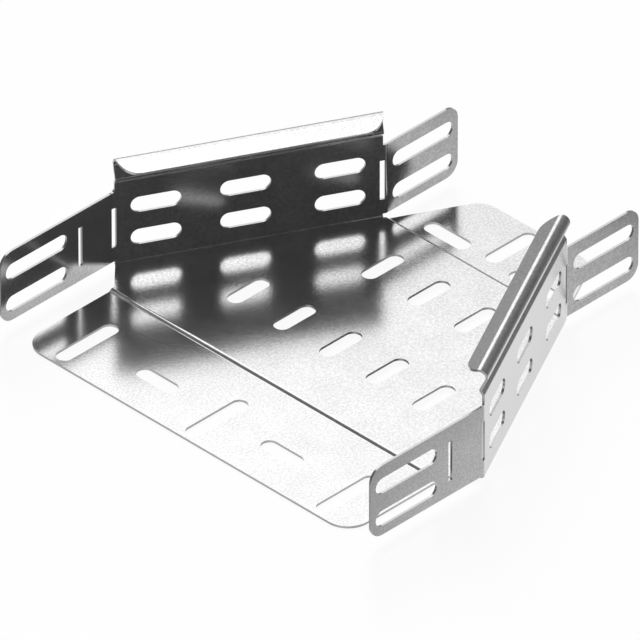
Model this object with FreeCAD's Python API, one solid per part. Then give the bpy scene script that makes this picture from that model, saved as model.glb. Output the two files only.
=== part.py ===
import FreeCAD, Part
import math
import os

from FreeCAD import Vector

# Cable tray reducer, folded from one perforated steel sheet. It joins a wide tray to a
# narrow one: a tapered floor with two walls, and at each mouth a joggled floor tongue and
# two side tabs that slip into the tray and take its bolts.
#
# X runs from the wide mouth to the narrow one, Y goes across and Z is up. The origin is
# under the middle of the whole piece, and z = 0 is the face that the tongues rest on.

# Sheet and folds
sheet = 1.0
fold_radius = 0.4          # inside radius between floor and wall, and at the lip's groove
tab_fold_radius = 1.5      # inside radius of the upright folds between walls and tabs

# Channel
wide_width = 196.5         # over the outsides of the wide tabs
narrow_width = 96.5        # over the outsides of the narrow tabs
taper_run = 94.9           # along X, from the wide upright folds to the narrow ones
narrow_fold_relief = 1.1   # wall length cut back at the narrow upright fold

# Wall and lip, as legs and bends of the outer face
groove_height = 38.0       # from the underside of the floor to the first lip bend
groove_lean = 32.0         # degrees, the leg that leans in
groove_leg = 1.63
bead_lean = 24.75          # degrees, the leg that leans back out
bead_leg = 4.93
bead_radius = 2.15         # inside radius of the bead
flange_slope = 26.2        # degrees, the flange falls towards the inside
flange_leg = 6.1
flange_corner = 8.8        # seen from above
flange_corner_from = 45.05  # height from which the corners are rounded

# Tabs
wide_tab_length = 59.6
narrow_tab_length = 37.9
tab_bottom = 2.0           # above the underside of the floor
tab_height = 31.5
tab_corner = 6.0
tab_notch_radius = 1.6     # where the tab's top edge meets the end of the wall

# Tongues
step = 1.0                 # the tongues lie this much lower than the floor
step_angle = 45.0          # degrees, slope of the joggle
step_radius = 0.5          # inside radius of the joggle's two bends
wide_tongue_length = 59.7  # from the wide folds to the end of the tongue
wide_tongue_width = 173.0
wide_ledge = 11.7          # level floor between the wide folds and the step
ledge_corner = 1.0         # from the step back to the slanted edge of the ledge
ledge_radius = 1.5
narrow_tongue_length = 33.5
narrow_tongue_inset = 1.9  # the tongue's slanted side, in from the wall's outside
tongue_corner = 10.0

# Slots: width, then the length of each kind
slot_width = 7.0
floor_slot = 20.0
wall_slot = 20.0
tab_slot = 32.2
wide_tongue_slot = 30.5
narrow_tongue_slot = 25.0
wide_cross_slot = 20.0     # slots that run across the tongues
narrow_cross_slot = 22.4

# Slot places
tab_slot_margin = 2.6      # sheet left at the end of a tab
tongue_slot_margin = 2.1   # sheet left at the end of a tongue
tab_row_low = 9.5          # heights above the underside of the floor
wall_row_low = 11.5
row_gap = 14.7
wall_slot_first = 16.9     # along the wall, from the wide fold
wall_slot_middle = 52.1
wall_slot_last = 18.0      # along the wall, back from the narrow fold
floor_pitch = 24.55        # across
floor_row_wide = 23.1      # along X, from the wide folds
floor_row_narrow = 69.9
wide_tongue_pitch = 68.9   # across, from the middle slot to the outer ones
wide_cross_back = 18.7     # from the end of the tongue to its cross slots
wide_cross_place = 33.0    # across, from the middle
narrow_cross_back = 26.0
narrow_cross_inset = 25.75 # across, from the outside of the tab to the middle of the slot

# Slits that mark the upright folds, and a second place to fold the wide tabs
slit_width = 2.0
slit_length = 17.8
slit_middle = 17.5         # above the underside of the floor
slit_narrow_setback = 1.35
slit_wide_tab = 17.8       # from the wide fold

# Worked out from the sizes above
taper = math.atan2((wide_width - narrow_width) / 2, taper_run)
wall_length = taper_run / math.cos(taper)
overall_length = wide_tongue_length + taper_run + narrow_tab_length
x_wide = wide_tongue_length - overall_length / 2
x_narrow = x_wide + taper_run
z_floor = step
fold_outside = fold_radius + sheet
fold_tangent = (tab_fold_radius + sheet) * math.tan(taper / 2)
tab_top = tab_bottom + tab_height
wall_start = fold_tangent
wall_end = wall_length - narrow_fold_relief
wide_tongue_end = x_wide - wide_tongue_length
narrow_tongue_end = x_narrow + narrow_tongue_length
joggle_turn = math.radians(step_angle)
joggle_bends = 2 * step_radius + sheet
joggle_slope = (step - joggle_bends * (1 - math.cos(joggle_turn))) / math.sin(joggle_turn)
joggle_run = joggle_bends * math.sin(joggle_turn) + joggle_slope * math.cos(joggle_turn)
through = 10 * sheet       # length of the cutters that pass through the sheet

along = Vector(math.cos(taper), -math.sin(taper), 0)
outward = Vector(math.sin(taper), math.cos(taper), 0)
forward = Vector(1, 0, 0)
across = Vector(0, 1, 0)
up = Vector(0, 0, 1)


def turned(vector, degrees):
    """A flat vector turned anticlockwise in its XY plane."""
    a = math.radians(degrees)
    return Vector(vector.x * math.cos(a) - vector.y * math.sin(a),
                  vector.x * math.sin(a) + vector.y * math.cos(a), 0)


def bent_section(start, heading, moves):
    """Section of the sheet, from the legs and bends of one of its faces.

    The face starts at start and the sheet lies on its left. A move is a leg (length,)
    or a bend (degrees, inside radius), with left turns positive.
    """
    face_edges = []
    back_edges = []
    point = start
    for move in moves:
        left = turned(heading, 90)
        if len(move) == 1:
            end = point + heading * move[0]
            face_edges.append(Part.LineSegment(point, end).toShape())
            back_edges.append(Part.LineSegment(point + left * sheet, end + left * sheet).toShape())
        else:
            angle, inside = move
            side = 1 if angle > 0 else -1
            radius = inside + sheet if side > 0 else inside
            centre = point + left * (side * radius)
            first = (point - centre) / radius
            middle = turned(first, angle / 2)
            last = turned(first, angle)
            end = centre + last * radius
            back = radius - side * sheet
            face_edges.append(Part.Arc(point, centre + middle * radius, end).toShape())
            back_edges.append(Part.Arc(centre + first * back, centre + middle * back,
                                       centre + last * back).toShape())
            heading = turned(heading, angle)
        point = end
    ends = [
        Part.LineSegment(start, back_edges[0].Vertexes[0].Point).toShape(),
        Part.LineSegment(point, point + turned(heading, 90) * sheet).toShape(),
    ]
    return Part.Face(Part.Wire(Part.__sortEdges__(face_edges + back_edges + ends)))


def stand(shape, origin, x_axis, y_axis):
    """Place a shape drawn in XY so that its X and Y follow the given directions."""
    z_axis = x_axis.cross(y_axis)
    matrix = FreeCAD.Matrix(x_axis.x, y_axis.x, z_axis.x, origin.x,
                            x_axis.y, y_axis.y, z_axis.y, origin.y,
                            x_axis.z, y_axis.z, z_axis.z, origin.z,
                            0, 0, 0, 1)
    placed = shape.copy()
    placed.Placement = FreeCAD.Placement(matrix)
    return placed


def rounded_outline(corners):
    """Closed flat face through (x, y, radius) corners, each rounded by an arc."""
    points = [Vector(x, y, 0) for x, y, radius in corners]
    arcs = []
    for i, here in enumerate(points):
        radius = corners[i][2]
        before = (points[i - 1] - here).normalize()
        after = (points[(i + 1) % len(points)] - here).normalize()
        half = before.getAngle(after) / 2
        reach = radius / math.tan(half)
        nearest = radius / math.sin(half) - radius
        arcs.append((here + before * reach,
                     here + (before + after).normalize() * nearest,
                     here + after * reach))
    edges = []
    for i, (first, middle, last) in enumerate(arcs):
        if corners[i][2] > 0:
            edges.append(Part.Arc(first, middle, last).toShape())
        edges.append(Part.LineSegment(last, arcs[(i + 1) % len(arcs)][0]).toShape())
    return Part.Face(Part.Wire(edges))


def slot_cutter(length, middle, x_axis, y_axis):
    """Cutter for a round-ended slot that runs along x_axis, on both sides of middle."""
    radius = slot_width / 2
    a = length / 2 - radius
    edges = [
        Part.LineSegment(Vector(-a, -radius, 0), Vector(a, -radius, 0)).toShape(),
        Part.Arc(Vector(a, -radius, 0), Vector(a + radius, 0, 0), Vector(a, radius, 0)).toShape(),
        Part.LineSegment(Vector(a, radius, 0), Vector(-a, radius, 0)).toShape(),
        Part.Arc(Vector(-a, radius, 0), Vector(-a - radius, 0, 0), Vector(-a, -radius, 0)).toShape(),
    ]
    blank = Part.Face(Part.Wire(edges))
    normal = x_axis.cross(y_axis)
    return stand(blank, middle - normal * (through / 2), x_axis, y_axis).extrude(normal * through)


def slit_cutter(middle, direction):
    """Cutter for an upright slit, in sheet that runs along direction."""
    thickness = up.cross(direction)
    corner = middle - direction * (slit_width / 2) - thickness * (through / 2) - up * (slit_length / 2)
    base = Part.makePolygon([corner, corner + direction * slit_width,
                             corner + direction * slit_width + thickness * through,
                             corner + thickness * through, corner])
    return Part.Face(base).extrude(up * slit_length)


def wall_place(distance, height):
    """Point on the outer face of the +Y wall, along it and above the floor's underside."""
    return Vector(x_wide, wide_width / 2, z_floor) + along * distance + up * height


def floor_with_tongues():
    """The floor and both joggled tongues: one section across, cut to the plan outline."""
    fold_first = wall_place(wall_start, 0) - outward * fold_outside
    fold_last = wall_place(wall_end, 0) - outward * fold_outside
    wide_step = x_wide - wide_ledge
    narrow_step = fold_last.x
    section = bent_section(Vector(wide_tongue_end, 0, 0), forward, [
        (wide_step - joggle_run - wide_tongue_end,),
        (step_angle, step_radius),
        (joggle_slope,),
        (-step_angle, step_radius),
        (narrow_step - wide_step,),
        (-step_angle, step_radius),
        (joggle_slope,),
        (step_angle, step_radius),
        (narrow_tongue_end - narrow_step - joggle_run,),
    ])
    plate = stand(section, across * (wide_width / 2), forward, up).extrude(across * -wide_width)

    shoulder = wall_place(wall_end, 0) - outward * narrow_tongue_inset
    tip = shoulder + along * ((narrow_tongue_end - shoulder.x) / along.x)
    far_side = [
        (wide_tongue_end, wide_tongue_width / 2, tongue_corner),
        (wide_step + ledge_corner, wide_tongue_width / 2, ledge_radius),
        (fold_first.x, fold_first.y, 0),
        (fold_last.x, fold_last.y, 0),
        (shoulder.x, shoulder.y, 0),
        (tip.x, tip.y, tongue_corner),
    ]
    near_side = [(x, -y, radius) for x, y, radius in reversed(far_side)]
    outline = rounded_outline(far_side + near_side)
    return plate.common(outline.extrude(up * (z_floor + sheet)))


def wall_with_lip():
    """The +Y wall from its floor fold to the free edge of its flange."""
    section = bent_section(Vector(-fold_outside, 0, 0), forward, [
        (90, fold_radius),
        (groove_height - fold_outside - fold_outside * math.tan(math.radians(groove_lean / 2)),),
        (groove_lean, fold_radius),
        (groove_leg,),
        (-groove_lean - bead_lean, fold_radius),
        (bead_leg,),
        (bead_lean + 90 + flange_slope, bead_radius),
        (flange_leg,),
    ])
    wall = stand(section, wall_place(wall_start, 0), outward, up)
    wall = wall.extrude(along * (wall_end - wall_start))

    # the offcuts round both free corners of the flange
    size = section.BoundBox
    corners = [(wall_start, size.XMin, flange_corner), (wall_end, size.XMin, flange_corner),
               (wall_end, size.XMax, 0), (wall_start, size.XMax, 0)]
    square = rounded_outline([(x, y, 0) for x, y, radius in corners])
    offcuts = square.cut(rounded_outline(corners))
    offcuts = stand(offcuts, wall_place(0, flange_corner_from), along, outward)
    return wall.cut(offcuts.extrude(up * through))


def tab_plate(bend, end, width):
    """A flat +Y tab from its upright bend to its free end, which has rounded corners."""
    plate = rounded_outline([
        (bend, tab_bottom, 0),
        (end, tab_bottom, tab_corner),
        (end, tab_top, tab_corner),
        (bend, tab_top, 0),
    ])
    return stand(plate, Vector(0, width / 2, z_floor), forward, up).extrude(across * -sheet)


def upright(section, bottom, height):
    """A section seen from above, raised to a height above the underside of the floor."""
    section.translate(up * (z_floor + bottom))
    return section.extrude(up * height)


def wide_tab():
    """The +Y tab at the wide mouth, with its upright bend to the wall."""
    bend = x_wide - fold_tangent
    section = bent_section(Vector(bend, wide_width / 2 - sheet, 0), forward,
                           [(-math.degrees(taper), tab_fold_radius)])
    plate = tab_plate(bend, x_wide - wide_tab_length, wide_width)
    return plate.fuse(upright(section, tab_bottom, tab_height))


def narrow_tab():
    """The +Y tab at the narrow mouth, with its upright bend and the end of the wall."""
    tangent = tab_fold_radius * math.tan(taper / 2)
    start = wall_place(wall_end, 0) - outward * sheet
    section = bent_section(Vector(start.x, start.y, 0), along,
                           [(wall_length - wall_end - tangent,), (math.degrees(taper), tab_fold_radius)])
    plate = tab_plate(x_narrow + tangent, x_narrow + narrow_tab_length, narrow_width)
    return plate.fuse(upright(section, tab_bottom, tab_height))


def notch_gusset():
    """The rounded inner corner between the wide tab's top edge and the end of the wall."""
    radius = tab_notch_radius
    section = bent_section(Vector(x_wide - radius, wide_width / 2 - sheet, 0), forward,
                           [(radius - fold_tangent,), (-math.degrees(taper), tab_fold_radius)])
    wall_edge = wall_place(wall_start, 0).x
    centre = Vector(wall_edge - radius, wide_width / 2 - through, z_floor + tab_top + radius)
    return upright(section, tab_top, radius).cut(Part.makeCylinder(radius, 2 * through, centre, across))


def floor_cutters():
    """Slots of the floor and of both tongues."""
    cutters = []
    for row, outermost in ((floor_row_wide, 2), (floor_row_narrow, 1)):
        for index in range(-outermost, outermost + 1):
            place = Vector(x_wide + row, index * floor_pitch, z_floor)
            cutters.append(slot_cutter(floor_slot, place, forward, across))
    row = wide_tongue_end + tongue_slot_margin + wide_tongue_slot / 2
    for index in (-1, 0, 1):
        place = Vector(row, index * wide_tongue_pitch, 0)
        cutters.append(slot_cutter(wide_tongue_slot, place, forward, across))
    row = narrow_tongue_end - tongue_slot_margin - narrow_tongue_slot / 2
    cutters.append(slot_cutter(narrow_tongue_slot, Vector(row, 0, 0), forward, across))
    for side in (-1, 1):
        wide_place = Vector(wide_tongue_end + wide_cross_back, side * wide_cross_place, 0)
        cutters.append(slot_cutter(wide_cross_slot, wide_place, across, forward))
        narrow_place = Vector(narrow_tongue_end - narrow_cross_back,
                              side * (narrow_width / 2 - narrow_cross_inset), 0)
        cutters.append(slot_cutter(narrow_cross_slot, narrow_place, across, forward))
    return cutters


def side_cutters():
    """Slots and slits of the +Y wall and its two tabs."""
    cutters = []
    wide_place = x_wide - wide_tab_length + tab_slot_margin + tab_slot / 2
    narrow_place = x_narrow + narrow_tab_length - tab_slot_margin - tab_slot / 2
    for lift in (0, row_gap):
        for distance in (wall_slot_first, wall_slot_middle, wall_length - wall_slot_last):
            place = wall_place(distance, wall_row_low + lift)
            cutters.append(slot_cutter(wall_slot, place, along, up))
        for x, width in ((wide_place, wide_width), (narrow_place, narrow_width)):
            place = Vector(x, width / 2, z_floor + tab_row_low + lift)
            cutters.append(slot_cutter(tab_slot, place, forward, up))
    wide_fold = (forward + along).normalize()
    cutters.append(slit_cutter(wall_place(0, slit_middle), wide_fold))
    cutters.append(slit_cutter(wall_place(0, slit_middle) - forward * slit_wide_tab, forward))
    cutters.append(slit_cutter(wall_place(wall_length - slit_narrow_setback, slit_middle), along))
    return cutters


os.makedirs("parts", exist_ok=True)

side = wall_with_lip().fuse([wide_tab(), narrow_tab(), notch_gusset()]).cut(side_cutters())
other_side = side.mirror(Vector(0, 0, 0), across)
floor = floor_with_tongues().cut(floor_cutters())
fused = floor.fuse([side, other_side]).removeSplitter()
reducer = fused.Solids[0]

box = reducer.BoundBox
print("solids", len(fused.Solids), "valid", reducer.isValid(), "faces", len(reducer.Faces))
print("volume mm3", round(reducer.Volume, 1))
print("box mm", [round(v, 2) for v in (box.XMin, box.YMin, box.ZMin, box.XMax, box.YMax, box.ZMax)])
reducer.exportStep("parts/reducer_sheet.step")
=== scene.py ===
# %% [markdown]
# # A cable tray reducer in galvanised sheet
#
# The real object is one sheet of steel, punched with slots, folded into a tapered channel and
# finished with a rolled lip. It was coated with zinc before it was punched, so its faces are
# bright and finely grained, and its cut edges are plain steel.
#
# All of its folds are already in the frame, which was drawn in millimetres. So nothing is
# modelled again here. The lesson is about a metal surface: what gives zinc its grain, and why
# metal looks like the room around it.

# %% Load the frame
import math

import bmesh
import bpy
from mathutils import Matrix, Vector
from mathutils.bvhtree import BVHTree

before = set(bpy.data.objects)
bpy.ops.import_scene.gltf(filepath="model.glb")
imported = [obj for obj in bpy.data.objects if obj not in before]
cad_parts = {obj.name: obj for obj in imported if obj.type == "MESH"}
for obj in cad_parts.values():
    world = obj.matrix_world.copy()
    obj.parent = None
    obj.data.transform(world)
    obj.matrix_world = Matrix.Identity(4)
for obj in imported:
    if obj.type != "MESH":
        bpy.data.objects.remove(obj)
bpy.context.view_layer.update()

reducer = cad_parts["reducer_sheet"]
MM = 0.001

# %% [markdown]
# ## Shader sums in plain Python
#
# A material is a small program drawn as a graph, and sums are hard to read in a graph. One
# class wraps a socket, so that a sum is written the way it is said and adds its own Math
# nodes. One method makes every other node: first its settings, then its sockets.

# %% Sockets that can be added and multiplied
class Wire:
    """A shader socket that takes part in sums."""

    def __init__(self, paint, socket):
        self.paint = paint
        self.socket = socket

    def sum(self, operation, first, second):
        return self.paint.node("ShaderNodeMath", {"operation": operation}, {0: first, 1: second})

    def __add__(self, other):
        return self.sum("ADD", self, other)

    def __radd__(self, other):
        return self.sum("ADD", other, self)

    def __sub__(self, other):
        return self.sum("SUBTRACT", self, other)

    def __rsub__(self, other):
        return self.sum("SUBTRACT", other, self)

    def __mul__(self, other):
        return self.sum("MULTIPLY", self, other)

    def __rmul__(self, other):
        return self.sum("MULTIPLY", other, self)


class Paint:
    """The node tree of a material or of the world."""

    def __init__(self, owner):
        owner.use_nodes = True
        self.tree = owner.node_tree
        self.tree.nodes.clear()

    def node(self, kind, settings=None, sockets=None, out=0):
        """A node of this kind, with its settings made first and its sockets filled next."""
        made = self.tree.nodes.new(kind)
        for name, setting in (settings or {}).items():
            setattr(made, name, setting)
        for name, given in (sockets or {}).items():
            if isinstance(given, Wire):
                self.tree.links.new(given.socket, made.inputs[name])
            else:
                made.inputs[name].default_value = given
        return Wire(self, made.outputs[out]) if made.outputs else None

# %% [markdown]
# ## Noise and steps
#
# Two helpers are used again and again. One makes noise with features of a known size, and one
# turns any number into a climb from 0 to 1, so that it can mix two colours or two lights.

# %% Noise and steps
def grain(paint, place, across, detail=2.0, rough=0.5):
    """Noise from 0 to 1 with features of this size, in metres."""
    return paint.node("ShaderNodeTexNoise", None, {
        "Vector": place, "Scale": 1 / across, "Detail": detail, "Roughness": rough})


def mixed(paint, share, first, second):
    """First colour where the share is 0, second where it is 1."""
    return paint.node("ShaderNodeMix", {"data_type": "RGBA"}, {
        "Factor": share, "A": first, "B": second}, out="Result")


def climb(paint, value, start, end, kind="SMOOTHSTEP"):
    """0 up to start, 1 from end on, and a climb between them, smooth or LINEAR."""
    return paint.node("ShaderNodeMapRange", {"interpolation_type": kind}, {
        "Value": value, "From Min": start, "From Max": end, "To Min": 0.0, "To Max": 1.0})

# %% [markdown]
# ## The zinc coat
#
# Zinc goes on as a skin a few hundredths of a millimetre thick and is rolled flat while it is
# bright. Up close it is a carpet of tiny crystals. Each one is tilted by a degree or so and
# is a little lighter or duller than the next, which breaks a reflection into fine sparkle.
#
# The grain could be painted as colour alone, but then it would not move with the light. So
# three things share the same noise: colour, roughness and a very shallow bump.
#
# Two slower changes lie over the grain. The first is painted light: the colour is made a
# little lighter towards the wide mouth, as if more light fell on that end.
# And a metal that is seen at a glancing angle mirrors nearly all the light, whatever its own
# colour. The shader does that by itself only close to edge on. A Layer Weight starts it
# sooner, which is more than real zinc does, and brings the near wall closer to its brightness
# in the photograph.

# %% Galvanised faces
GRAIN = 0.9 * MM           # across one crystal
GRAIN_DEPTH = 0.009 * MM   # how deep its bump looks
GRAIN_SHARE = 0.75         # of the crystals in the colour, the rest being clouds
CLOUD = 14 * MM            # across the faint clouds that rolling leaves
PAINTED_LIGHT_DRIFT = 0.9                # painted light: how much lighter the colour is made, per metre towards the wide mouth
CONTRAST = (0.32, 0.68)    # grain and painted light that give the darkest and the lightest zinc
GLANCE = (0.55, 0.76)      # where the colour runs to white, from 0 square on to 1 edge on
GLOSS = 0.145              # roughness of the smoothest spots
DULLING = 0.03             # what a cloud, or a crystal, adds to it
ZINC_DARK = (0.54, 0.54, 0.54, 1)
ZINC_LIGHT = (0.78, 0.78, 0.78, 1)
WHITE = (1, 1, 1, 1)


def galvanised():
    zinc = bpy.data.materials.new("galvanised_faces")
    paint = Paint(zinc)
    place = paint.node("ShaderNodeTexCoord", out="Object")
    crystals = grain(paint, place, GRAIN)
    clouds = grain(paint, place, CLOUD, 3.0)
    # Painted light: the colour is made a little lighter towards the wide mouth.
    painted_light_along = paint.node("ShaderNodeSeparateXYZ", None, {0: place})
    noise = crystals * GRAIN_SHARE + clouds * (1 - GRAIN_SHARE) - painted_light_along * PAINTED_LIGHT_DRIFT
    colour = mixed(paint, climb(paint, noise, *CONTRAST, "LINEAR"), ZINC_DARK, ZINC_LIGHT)
    edge_on = paint.node("ShaderNodeLayerWeight", None, {"Blend": 0.5}, out="Facing")
    colour = mixed(paint, climb(paint, edge_on, *GLANCE), colour, WHITE)
    bump = paint.node("ShaderNodeBump", None, {
        "Strength": 1.0, "Distance": GRAIN_DEPTH, "Height": crystals})
    metal = paint.node("ShaderNodeBsdfPrincipled", None, {
        "Base Color": colour, "Metallic": 1.0, "Normal": bump,
        "Roughness": GLOSS + DULLING * clouds + DULLING * crystals})
    paint.node("ShaderNodeOutputMaterial", None, {"Surface": metal})
    return zinc

# %% [markdown]
# ## The cut edges
#
# A punch shears the sheet: the top third of the cut is burnished and the rest is torn, with
# no zinc on it. So a cut is darker than the coat, with short torn marks.
#
# To paint the cuts by themselves, they have to be told from the faces. Their faces could be
# listed by hand, but there are thousands. A short ray is kinder: from a face of the sheet, a
# ray straight into the metal comes out after one thickness, and from a cut it runs on.

# %% Cut edges
SHEET = 1.0 * MM           # thickness
TEAR = 0.25 * MM           # across one torn mark
TEAR_DEPTH = 0.02 * MM
BURNISH = 0.14             # roughness of the smoothest spots, and what a tear adds to it
STEEL_DARK = (0.45, 0.45, 0.45, 1)
STEEL_LIGHT = (0.65, 0.65, 0.65, 1)


def sheared():
    steel = bpy.data.materials.new("sheared_edges")
    paint = Paint(steel)
    place = paint.node("ShaderNodeTexCoord", out="Object")
    tear = grain(paint, place, TEAR, 3.0, 0.6)
    bump = paint.node("ShaderNodeBump", None, {
        "Strength": 1.0, "Distance": TEAR_DEPTH, "Height": tear})
    metal = paint.node("ShaderNodeBsdfPrincipled", None, {
        "Base Color": mixed(paint, tear, STEEL_DARK, STEEL_LIGHT), "Metallic": 1.0,
        "Normal": bump, "Roughness": BURNISH + BURNISH * tear})
    paint.node("ShaderNodeOutputMaterial", None, {"Surface": metal})
    return steel


def cut_faces(node):
    """Numbers of the faces that a punch or shears made."""
    mesh = node.data
    corners = [v.co for v in mesh.vertices]
    solid = BVHTree.FromPolygons(corners, [p.vertices for p in mesh.polygons])
    just_inside = 0.01 * SHEET
    past_one_sheet = 1.15 * SHEET
    cut = []
    for face in mesh.polygons:
        start = face.center - face.normal * just_inside
        depth = solid.ray_cast(start, -face.normal)[3]
        if depth is not None and depth > past_one_sheet:
            cut.append(face.index)
    return cut


reducer.data.materials.clear()
reducer.data.materials.append(galvanised())
reducer.data.materials.append(sheared())
cuts = cut_faces(reducer)
for number in cuts:
    reducer.data.polygons[number].material_index = 1
print("cut edges:", len(cuts), "of", len(reducer.data.polygons), "faces")

# %% [markdown]
# ## The floor
#
# The reducer stands on a plain pale board. A dull board would need a great deal of light to
# look white, and that light would burn out the metal. So the camera sees the board mostly as
# its own white, and the rest is a satin surface that takes the object's shadow.
#
# The metal sees the board as well, in its low reflections. There the white is painted as a
# ring round the object: close under the sheet it is left out as a painted shadow, and far off
# it fades out, a painted fall of light towards the dim room. The upright walls and tabs then
# mirror a soft grey and not a white page.

# %% Pale board
BOARD = 6.0                # metres across
BOARD_GAP = 0.05 * MM      # below the sheet, so that the two never share a plane
WHITE_SEEN = 0.93          # share of the board that the camera sees as plain white
WHITE_MIRRORED = 0.58      # the same share in reflections, where the painted ring is full
PAINTED_RING_START = (25 * MM, 75 * MM)     # from the middle, where the painted ring comes up out of its painted shadow
PAINTED_RING_END = (100 * MM, 195 * MM)     # and where its painted light fades towards the dim room


def pale_board():
    board_paint = bpy.data.materials.new("pale_board")
    paint = Paint(board_paint)
    white = paint.node("ShaderNodeEmission", None, {"Color": WHITE, "Strength": 1.0})
    satin = paint.node("ShaderNodeBsdfPrincipled", None, {
        "Base Color": (0.9, 0.9, 0.9, 1), "Metallic": 0.8, "Roughness": 0.35})
    seen = paint.node("ShaderNodeLightPath", out="Is Camera Ray")
    glossy = paint.node("ShaderNodeLightPath", out="Is Glossy Ray")
    through = paint.node("ShaderNodeLightPath", out="Is Transmission Ray")
    place = paint.node("ShaderNodeTexCoord", out="Object")
    away = paint.node("ShaderNodeVectorMath", {"operation": "LENGTH"}, {0: place}, out="Value")
    # Painted light: reflections see the board white only in this ring, with painted shadow close
    # under the sheet and a painted fade far off.
    painted_ring = climb(paint, away, *PAINTED_RING_START) * (1 - climb(paint, away, *PAINTED_RING_END))
    mirrored = (glossy + through) * painted_ring
    shown = paint.node("ShaderNodeMixShader", None, {
        0: seen * WHITE_SEEN + mirrored * WHITE_MIRRORED, 1: satin, 2: white})
    paint.node("ShaderNodeOutputMaterial", None, {"Surface": shown})
    return board_paint


bm = bmesh.new()
bmesh.ops.create_grid(bm, x_segments=1, y_segments=1, size=BOARD / 2)
bmesh.ops.translate(bm, verts=bm.verts, vec=(0, 0, -BOARD_GAP))
board = bpy.data.objects.new("board", bpy.data.meshes.new("board"))
bm.to_mesh(board.data)
bm.free()
bpy.context.scene.collection.objects.link(board)
board.data.materials.append(pale_board())
print("board:", BOARD, "m across")

# %% [markdown]
# ## The light
#
# Metal has no colour of its own to speak of: it shows the room. Bright steel is photographed
# under one wide soft light, above and a little behind, in a room that gets darker towards the
# camera. The level floor then mirrors the light and goes nearly white, and the upright walls
# mirror the dark side of the room, so every fold reads.
#
# Four smaller things finish the set. A card on the right hides part of the soft light, which
# keeps the round beads dark beside their bright line. A small hot spot near the top lights
# the sloping flanges. The ceiling straight above is plain, so that seen from above the zinc
# keeps its own tone. And a weak light on the left shows the metal from its other sides.
#
# Lamps could do this, but a lamp has a hard rim that shows in the metal. Here the world itself
# is the room. Its brightness depends only on the direction, and every part of it is a round
# patch that fades over a wide rim. A patch is written as the way to its middle and two
# angles from there: where its rim ends, and where it is full.

# %% Soft studio room
SOFTBOX = (Vector((0.43, 0.40, 0.81)), 44, 30)
CEILING = (Vector((0, 0, 1)), 36, 16)
HOT_SPOT = (Vector((0.216, -0.104, 0.970)), 16, 6)
CARD = (Vector((0.863, -0.445, -0.240)), 85, 77)
FILL = (Vector((-0.86, -0.30, 0.42)), 42, 12)
BACK = (Vector((0.41, 0.91, 0.0)), 101.5, 0)
SOFTBOX_LEVEL = 1.54
CEILING_LEVEL = 1.25
HOT_SPOT_LEVEL = 2.0
FILL_LEVEL = 0.8
ROOM_FRONT = 0.07
ROOM_BACK = 0.37


def inside(paint, direction, patch):
    """1 well inside the patch, 0 outside it, and a smooth climb over its rim."""
    middle, rim, full = patch
    cosine = paint.node("ShaderNodeVectorMath", {"operation": "DOT_PRODUCT"}, {
        0: direction, 1: middle.normalized()}, out="Value")
    return climb(paint, cosine, math.cos(math.radians(rim)), math.cos(math.radians(full)))


def between(first, second, share):
    """First level where the share is 0, second where it is 1."""
    return first + (second - first) * share


world = bpy.data.worlds.new("studio")
bpy.context.scene.world = world
paint = Paint(world)
direction = paint.node("ShaderNodeTexCoord", out="Generated")
room = between(ROOM_FRONT, ROOM_BACK, inside(paint, direction, BACK))
room = between(room, FILL_LEVEL, inside(paint, direction, FILL))
lit = between(SOFTBOX_LEVEL, CEILING_LEVEL, inside(paint, direction, CEILING))
lit = between(lit, HOT_SPOT_LEVEL, inside(paint, direction, HOT_SPOT))
uncovered = inside(paint, direction, SOFTBOX) * (1 - inside(paint, direction, CARD))
light = paint.node("ShaderNodeBackground", None, {
    "Color": WHITE, "Strength": between(room, lit, uncovered)})
paint.node("ShaderNodeOutputWorld", None, {"Surface": light})
print("room:", len(paint.tree.nodes), "nodes")

# %% [markdown]
# ## The camera
#
# The photograph is taken from so far off that parallel edges stay parallel, with the three
# directions of the object equally short. A long lens from ten metres does the same. The
# camera looks down a cube's diagonal, and the aim point is set off from the middle so that
# the object lies in the frame as it does in the photograph.

# %% Long lens down the diagonal
LENS = 1600                # mm
SENSOR = 36                # mm
FIELD = 239.8 * MM         # width of the frame at the object
AIM = Vector((-10.15, 14.36, 4.21)) * MM

camera = bpy.data.objects.new("camera", bpy.data.cameras.new("camera"))
bpy.context.scene.collection.objects.link(camera)
camera.data.lens = LENS
camera.data.sensor_width = SENSOR
camera.data.clip_end = 30
look = Vector((1, 1, -1)).normalized()
camera.rotation_mode = "QUATERNION"
camera.rotation_quaternion = look.to_track_quat("-Z", "Y")
camera.location = AIM - look * (FIELD * LENS / SENSOR)
bpy.context.scene.camera = camera
bpy.context.scene.view_settings.view_transform = "Standard"
print("camera at", [round(value, 3) for value in camera.location])

# %% [markdown]
# ## The last step
#
# Paint and light must not change the size of the object. The last step only brings the scene
# up to date.

# %% Finish
bpy.context.view_layer.update()
